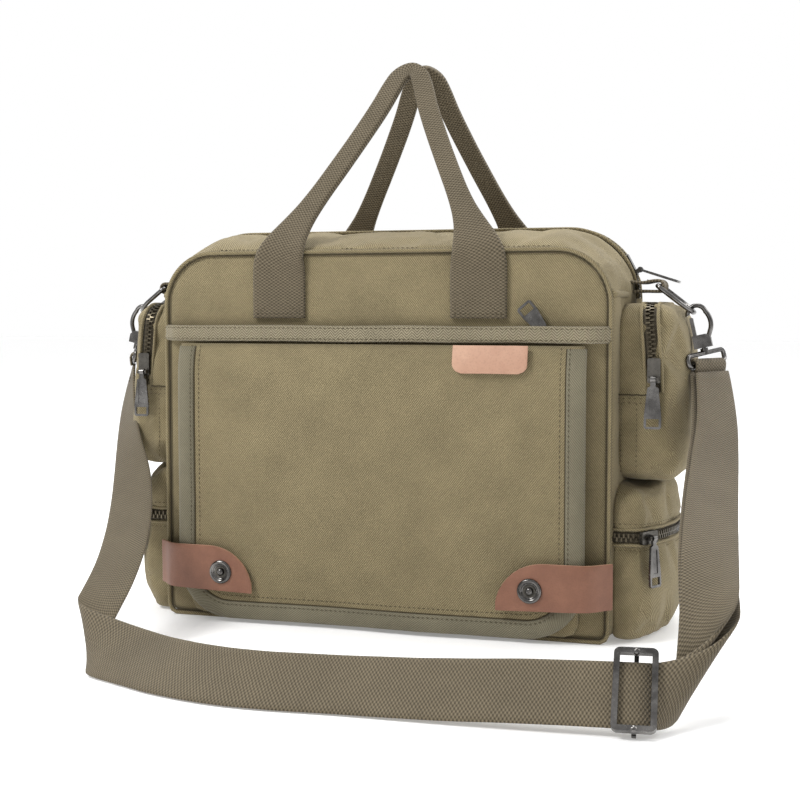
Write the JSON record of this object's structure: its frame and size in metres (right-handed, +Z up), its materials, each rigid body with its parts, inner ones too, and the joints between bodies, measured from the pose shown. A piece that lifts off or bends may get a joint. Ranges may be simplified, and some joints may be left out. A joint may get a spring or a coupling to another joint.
{
  "type": "canvas messenger bag",
  "caption": "Canvas messenger bag with a front flap, zipped side pockets, folding grab handles and a clip-on shoulder strap with a slide buckle.",
  "frame": {"origin": "centre of the base, on the ground", "axes": "+X towards the right of the bag seen from the front, -Y out of the front with the flap, +Z up"},
  "size_m": [0.4737, 0.3476, 0.393],
  "materials": {
    "canvas": "washed cotton canvas",
    "webbing": "coarse cotton webbing",
    "twill_tape": "herringbone tape",
    "binding_tape": "herringbone tape",
    "brown_leather": "soft matt leather",
    "label_leather": "veg-tanned leather",
    "gunmetal": "polished gunmetal",
    "zipper": "dark zipper tape and teeth",
    "stiffener_board": "plain"
  },
  "bodies": {
    "bag": {"back_panel": "canvas", "bottom_board": "stiffener_board", "bottom_panel": "canvas", "front_band": "twill_tape", "front_handle_patches": "webbing", "front_panel": "canvas", "front_pocket": "canvas", "front_zipper_chain": "zipper", "lower_pocket_left": "canvas", "lower_pocket_right": "canvas", "lower_zipper_chain_left": "zipper", "lower_zipper_chain_right": "zipper", "main_zipper_chain": "zipper", "rear_handle_patches": "webbing", "side_loop_left": "webbing", "side_loop_right": "webbing", "side_panel_left": "canvas", "side_panel_right": "canvas", "strap_left_run": "webbing", "strap_return": "webbing", "strap_right_run": "webbing", "top_gusset_front": "canvas", "top_gusset_rear": "canvas", "upper_pocket_left": "canvas", "upper_pocket_right": "canvas", "upper_zipper_chain_left": "zipper", "upper_zipper_chain_right": "zipper"},
    "flap": {"flap_panel": "canvas", "flap_binding": "binding_tape", "snap_studs": "gunmetal", "leather_label": "label_leather"},
    "tab_right": {"leather_tab_right": "brown_leather", "snap_ring_right": "gunmetal"},
    "tab_left": {"leather_tab_left": "brown_leather", "snap_ring_left": "gunmetal"},
    "front_grip": {"front_handle": "webbing"},
    "rear_grip": {"rear_handle": "webbing"},
    "main_zip_slider": {"main_slider": "gunmetal"},
    "main_zip_pull": {"main_pull": "gunmetal"},
    "front_zip_slider": {"front_slider": "gunmetal"},
    "front_zip_pull": {"front_pull": "gunmetal"},
    "upper_zip_slider_right": {"upper_slider_right": "gunmetal"},
    "upper_zip_pull_right": {"upper_pull_right": "gunmetal"},
    "lower_zip_slider_right": {"lower_slider_right": "gunmetal"},
    "lower_zip_pull_right": {"lower_pull_right": "gunmetal"},
    "ring_right": {"d_ring_right": "gunmetal"},
    "hook_right": {"snap_hook_right": "gunmetal"},
    "gate_right": {"hook_gate_right": "gunmetal"},
    "eye_right": {"swivel_eye_right": "gunmetal"},
    "upper_zip_slider_left": {"upper_slider_left": "gunmetal"},
    "upper_zip_pull_left": {"upper_pull_left": "gunmetal"},
    "lower_zip_slider_left": {"lower_slider_left": "gunmetal"},
    "lower_zip_pull_left": {"lower_pull_left": "gunmetal"},
    "ring_left": {"d_ring_left": "gunmetal"},
    "hook_left": {"snap_hook_left": "gunmetal"},
    "gate_left": {"hook_gate_left": "gunmetal"},
    "eye_left": {"swivel_eye_left": "gunmetal"},
    "buckle": {"slide_buckle": "gunmetal"}
  },
  "joints": [
    {"name": "flap_hinge", "type": "hinge", "parent": "bag", "child": "flap", "pos_m": [0, -0.0768, 0.1949], "axis": [-1, 0, 0], "range_deg": [0, 105], "deforming": ["leather_tab_left", "leather_tab_right", "snap_ring_left", "snap_ring_right"]},
    {"name": "tab_peel_right", "type": "hinge", "parent": "bag", "child": "tab_right", "pos_m": [0.1585, -0.07, 0.039], "axis": [0, 0, 1], "range_deg": [0, 100]},
    {"name": "tab_peel_left", "type": "hinge", "parent": "bag", "child": "tab_left", "pos_m": [-0.1585, -0.07, 0.039], "axis": [0, 0, -1], "range_deg": [0, 100]},
    {"name": "front_handle_fold", "type": "hinge", "parent": "bag", "child": "front_grip", "pos_m": [0, -0.0719, 0.2402], "axis": [-1, 0, 0], "range_deg": [-175, 0]},
    {"name": "rear_handle_fold", "type": "hinge", "parent": "bag", "child": "rear_grip", "pos_m": [0, 0.0719, 0.2402], "axis": [1, 0, 0], "range_deg": [-175, 0]},
    {"name": "main_slider_run", "type": "hinge", "parent": "bag", "child": "main_zip_slider", "pos_m": [0.118, 0, 0.225], "axis": [0, -1, 0], "range_deg": [0, 54]},
    {"name": "main_pull_swing", "type": "hinge", "parent": "main_zip_slider", "child": "main_zip_pull", "pos_m": [0.16623, 0, 0.24442], "axis": [0, -1, 0], "range_deg": [0, 100]},
    {"name": "front_slider_run", "type": "slide", "parent": "bag", "child": "front_zip_slider", "axis": [-1, 0, 0], "range_m": [0, 0.215]},
    {"name": "front_pull_swing", "type": "hinge", "parent": "front_zip_slider", "child": "front_zip_pull", "pos_m": [0.1175, -0.0732, 0.201], "axis": [0.766, 0, 0.6428], "range_deg": [0, 4]},
    {"name": "upper_slider_run_right", "type": "slide", "parent": "bag", "child": "upper_zip_slider_right", "axis": [0, 0, 1], "range_m": [0, 0.022]},
    {"name": "upper_pull_swing_right", "type": "hinge", "parent": "upper_zip_slider_right", "child": "upper_zip_pull_right", "pos_m": [0.183, -0.0568, 0.1725], "axis": [-1, 0, 0], "range_deg": [0, 150]},
    {"name": "lower_slider_run_right", "type": "hinge", "parent": "bag", "child": "lower_zip_slider_right", "pos_m": [0.085, 0, 0.07], "axis": [0, 0, 1], "range_deg": [0, 56]},
    {"name": "lower_pull_swing_right", "type": "hinge", "parent": "lower_zip_slider_right", "child": "lower_zip_pull_right", "pos_m": [0.18459, -0.0575, 0.07], "axis": [-0.5, -0.866, 0], "range_deg": [0, 100]},
    {"name": "ring_swing_right", "type": "hinge", "parent": "bag", "child": "ring_right", "pos_m": [0.181, -0.012, 0.233], "axis": [0, 1, 0], "range_deg": [-8, 0], "deforming": ["strap_left_run", "strap_right_run", "strap_return"]},
    {"name": "hook_swing_right", "type": "hinge", "parent": "ring_right", "child": "hook_right", "pos_m": [0.2036, -0.012, 0.2154], "axis": [0, 1, 0], "range_deg": [-6, 0], "deforming": ["strap_left_run", "strap_right_run", "strap_return"]},
    {"name": "gate_swing_right", "type": "hinge", "parent": "hook_right", "child": "gate_right", "pos_m": [0.20494, -0.012, 0.19806], "axis": [0, 1, 0], "range_deg": [0, 18], "stiffness_Nm_per_rad": 0.02},
    {"name": "eye_spin_right", "type": "hinge", "parent": "hook_right", "child": "eye_right", "pos_m": [0.20496, -0.012, 0.21571], "axis": [0.225, 0, -0.9744], "range_deg": [-8, 8], "deforming": ["strap_left_run", "strap_right_run", "strap_return"]},
    {"name": "upper_slider_run_left", "type": "slide", "parent": "bag", "child": "upper_zip_slider_left", "axis": [0, 0, 1], "range_m": [0, 0.022]},
    {"name": "upper_pull_swing_left", "type": "hinge", "parent": "upper_zip_slider_left", "child": "upper_zip_pull_left", "pos_m": [-0.183, -0.0568, 0.1725], "axis": [-1, 0, 0], "range_deg": [0, 150]},
    {"name": "lower_slider_run_left", "type": "hinge", "parent": "bag", "child": "lower_zip_slider_left", "pos_m": [-0.085, 0, 0.07], "axis": [0, 0, -1], "range_deg": [0, 56]},
    {"name": "lower_pull_swing_left", "type": "hinge", "parent": "lower_zip_slider_left", "child": "lower_zip_pull_left", "pos_m": [-0.18459, -0.0575, 0.07], "axis": [-0.5, 0.866, 0], "range_deg": [0, 100]},
    {"name": "ring_swing_left", "type": "hinge", "parent": "bag", "child": "ring_left", "pos_m": [-0.181, -0.012, 0.233], "axis": [0, 1, 0], "range_deg": [0, 8], "deforming": ["strap_left_run", "strap_right_run", "strap_return"]},
    {"name": "hook_swing_left", "type": "hinge", "parent": "ring_left", "child": "hook_left", "pos_m": [-0.2036, -0.012, 0.2154], "axis": [0, 1, 0], "range_deg": [0, 6], "deforming": ["strap_left_run", "strap_right_run", "strap_return"]},
    {"name": "gate_swing_left", "type": "hinge", "parent": "hook_left", "child": "gate_left", "pos_m": [-0.20494, -0.012, 0.19806], "axis": [0, -1, 0], "range_deg": [0, 18], "stiffness_Nm_per_rad": 0.02},
    {"name": "eye_spin_left", "type": "hinge", "parent": "hook_left", "child": "eye_left", "pos_m": [-0.20496, -0.012, 0.21571], "axis": [-0.225, 0, -0.9744], "range_deg": [-8, 8], "deforming": ["strap_left_run", "strap_right_run", "strap_return"]},
    {"name": "buckle_slide", "type": "slide", "parent": "bag", "child": "buckle", "axis": [-0.9955, -0.0945, -0.0034], "range_m": [0, 0.03], "deforming": ["strap_left_run", "strap_right_run", "strap_return"]}
  ]
}
